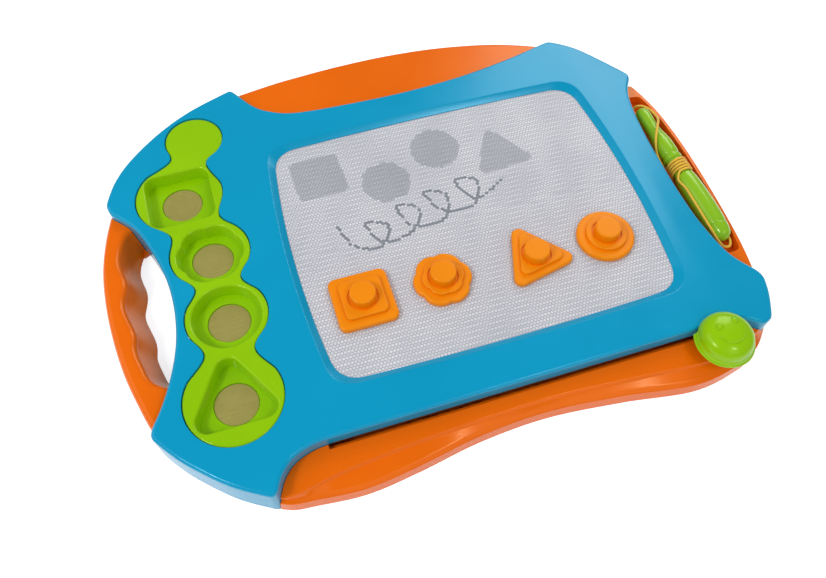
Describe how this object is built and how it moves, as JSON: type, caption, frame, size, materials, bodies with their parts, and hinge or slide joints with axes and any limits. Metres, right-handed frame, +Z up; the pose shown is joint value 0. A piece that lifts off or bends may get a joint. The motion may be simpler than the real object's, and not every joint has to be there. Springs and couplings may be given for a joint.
{
  "type": "magnetic drawing board",
  "caption": "Framed magnetic drawing board with a carrying handle, sliding eraser, stamp holder, shaped stamps and a pen on a cord in its tray.",
  "frame": {"origin": "on the table, under the middle of the whole board", "axes": "+X towards the pen tray, +Y away from the eraser slot, +Z up out of the drawing face"},
  "size_m": [0.4146, 0.3168, 0.038],
  "materials": {
    "frame_blue": "moulded, semi-gloss",
    "cover_orange": "moulded, semi-gloss",
    "holder_green": "moulded, semi-gloss",
    "stamp_orange": "moulded, semi-gloss",
    "pen_green": "moulded, glossy",
    "screen_sheet": "smooth film",
    "screen_core": "honeycomb of small cells",
    "disc_steel": "plain, slightly yellow",
    "screw_steel": "plated",
    "magnet": "plain ferrite compound",
    "cord_amber": "round cord"
  },
  "bodies": {
    "board": {"front_frame": "frame_blue", "rear_cover": "cover_orange", "stamp_holder": "holder_green", "screen_front_sheet": "screen_sheet", "screen_honeycomb": "screen_core", "screen_back_sheet": "screen_sheet", "screen_retainer": "cover_orange", "retainer_screw_1": "screw_steel", "retainer_screw_2": "screw_steel", "retainer_screw_3": "screw_steel", "retainer_screw_4": "screw_steel", "housing_screw_1": "screw_steel", "housing_screw_2": "screw_steel", "housing_screw_3": "screw_steel", "housing_screw_4": "screw_steel", "housing_screw_5": "screw_steel", "housing_screw_6": "screw_steel", "housing_screw_7": "screw_steel", "housing_screw_8": "screw_steel", "steel_disc_square": "disc_steel", "steel_disc_flower": "disc_steel", "steel_disc_circle": "disc_steel", "steel_disc_triangle": "disc_steel", "cord_knot": "cord_amber"},
    "eraser": {"eraser_bar": "cover_orange", "eraser_magnet": "magnet", "eraser_knob": "holder_green", "eraser_knob_screw": "screw_steel"},
    "square_stamp": {"stamp_square": "stamp_orange", "stamp_magnet_square": "magnet"},
    "flower_stamp": {"stamp_flower": "stamp_orange", "stamp_magnet_flower": "magnet"},
    "circle_stamp": {"stamp_circle": "stamp_orange", "stamp_magnet_circle": "magnet"},
    "triangle_stamp": {"stamp_triangle": "stamp_orange", "stamp_magnet_triangle": "magnet"},
    "pen": {"pen_front_barrel": "pen_green", "pen_rear_barrel": "pen_green", "pen_tip_magnet": "magnet", "pen_tail_plug": "pen_green", "cord_winding": "cord_amber", "cord_front_lead": "cord_amber", "cord_tail_lead": "cord_amber"}
  },
  "joints": [
    {"name": "eraser_slide", "type": "slide", "parent": "board", "child": "eraser", "axis": [-1, 0, 0], "range_m": [0, 0.238]},
    {"name": "square_stamp_lift", "type": "slide", "parent": "board", "child": "square_stamp", "axis": [0, 0, 1], "range_m": [0, 0.03]},
    {"name": "flower_stamp_lift", "type": "slide", "parent": "board", "child": "flower_stamp", "axis": [0, 0, 1], "range_m": [0, 0.03]},
    {"name": "circle_stamp_lift", "type": "slide", "parent": "board", "child": "circle_stamp", "axis": [0, 0, 1], "range_m": [0, 0.03]},
    {"name": "triangle_stamp_lift", "type": "slide", "parent": "board", "child": "triangle_stamp", "axis": [0, 0, 1], "range_m": [0, 0.03]},
    {"name": "pen_lift", "type": "slide", "parent": "board", "child": "pen", "axis": [0, 0, 1], "range_m": [0, 0.03]}
  ]
}
